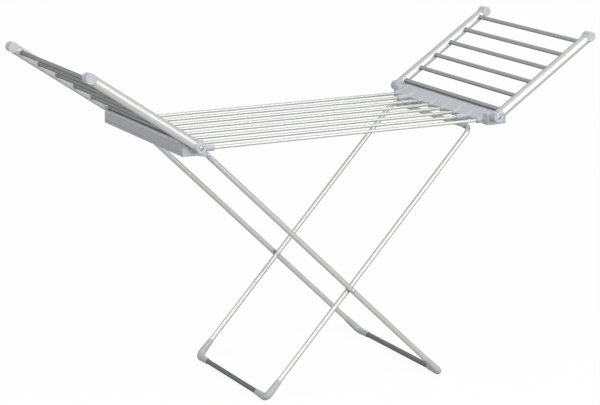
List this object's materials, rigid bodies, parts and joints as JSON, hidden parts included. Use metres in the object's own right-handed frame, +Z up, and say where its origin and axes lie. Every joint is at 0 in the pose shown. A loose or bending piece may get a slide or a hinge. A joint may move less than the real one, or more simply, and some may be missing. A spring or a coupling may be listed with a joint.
{
  "type": "heated clothes airer",
  "caption": "Folding heated clothes airer: a deck of warm rails between two end housings, two winged frames of rungs hinged to them, and crossed folding legs.",
  "frame": {"origin": "on the floor, under the middle of the deck", "axes": "+X along the deck towards the wing at the power end, +Y across the deck to the far side, +Z up"},
  "size_m": [1.4766, 0.5448, 0.9162],
  "materials": {
    "satin_aluminium": "satin",
    "silver_tube": "silver, satin",
    "grey_rung": "matt grey",
    "dark_tube": "dark grey, satin",
    "light_plastic": "light grey, fine texture",
    "grey_plastic": "grey, fine texture",
    "dark_plastic": "dark grey",
    "steel": "zinc plated",
    "cable_sheath": "silicone sheath",
    "rocker_plastic": "gloss"
  },
  "bodies": {
    "deck": {"left_housing_cover": "light_plastic", "left_housing_base": "grey_plastic", "right_housing_cover": "light_plastic", "right_housing_base": "grey_plastic", "rail_1": "silver_tube", "rail_2": "silver_tube", "rail_3": "silver_tube", "rail_4": "silver_tube", "rail_5": "silver_tube", "rail_6": "silver_tube", "rail_7": "silver_tube", "rail_8": "silver_tube", "deck_heating_cable": "cable_sheath", "near_leg_pin": "steel", "far_leg_pin": "steel", "left_near_hinge_screw": "steel", "left_far_hinge_screw": "steel", "right_near_hinge_screw": "steel", "right_far_hinge_screw": "steel", "switch_bezel": "dark_plastic"},
    "rocker": {"power_rocker": "rocker_plastic"},
    "right_wing": {"right_wing_near_tube": "satin_aluminium", "right_wing_far_tube": "satin_aluminium", "right_wing_near_tip_cap": "light_plastic", "right_wing_far_tip_cap": "light_plastic", "right_wing_near_knuckle": "light_plastic", "right_wing_far_knuckle": "light_plastic", "right_wing_rung_1": "grey_rung", "right_wing_rung_2": "grey_rung", "right_wing_rung_3": "grey_rung", "right_wing_rung_4": "grey_rung", "right_wing_rung_5": "grey_rung", "right_wing_rung_6": "grey_rung", "right_wing_heating_cable": "cable_sheath"},
    "left_wing": {"left_wing_near_tube": "satin_aluminium", "left_wing_far_tube": "satin_aluminium", "left_wing_near_tip_cap": "light_plastic", "left_wing_far_tip_cap": "light_plastic", "left_wing_near_knuckle": "light_plastic", "left_wing_far_knuckle": "light_plastic", "left_wing_rung_1": "grey_rung", "left_wing_rung_2": "grey_rung", "left_wing_rung_3": "grey_rung", "left_wing_rung_4": "grey_rung", "left_wing_rung_5": "grey_rung", "left_wing_rung_6": "grey_rung", "left_wing_heating_cable": "cable_sheath"},
    "outer_legs": {"outer_near_leg": "silver_tube", "outer_far_leg": "silver_tube", "outer_near_leg_eye": "light_plastic", "outer_far_leg_eye": "light_plastic", "outer_near_foot": "light_plastic", "outer_far_foot": "light_plastic", "outer_near_pivot_rivet": "steel", "outer_far_pivot_rivet": "steel", "outer_floor_bar": "dark_tube"},
    "inner_legs": {"inner_frame_tube": "silver_tube", "inner_near_foot": "light_plastic", "inner_far_foot": "light_plastic", "inner_floor_bar": "dark_tube"}
  },
  "joints": [
    {"name": "right_wing_fold", "type": "hinge", "parent": "deck", "child": "right_wing", "pos_m": [0.4355, 0, 0.7075], "axis": [0, -1, 0], "range_deg": [0, 144]},
    {"name": "left_wing_fold", "type": "hinge", "parent": "deck", "child": "left_wing", "pos_m": [-0.4355, 0, 0.7075], "axis": [0, 1, 0], "range_deg": [0, 144]},
    {"name": "outer_leg_fold", "type": "hinge", "parent": "deck", "child": "outer_legs", "pos_m": [-0.3983, 0, 0.679], "axis": [0, 1, 0], "range_deg": [0, 42]},
    {"name": "inner_leg_fold", "type": "hinge", "parent": "outer_legs", "child": "inner_legs", "pos_m": [0.02304, 0, 0.27364], "axis": [0, -1, 0], "range_deg": [0, 84]},
    {"name": "rocker_tilt", "type": "hinge", "parent": "deck", "child": "rocker", "pos_m": [0.4713, -0.09999, 0.7027], "axis": [0, 0, 1], "range_deg": [0, 24]}
  ],
  "couplings": [
    {"joint": "inner_leg_fold", "follows": "outer_leg_fold", "ratio": 2}
  ]
}
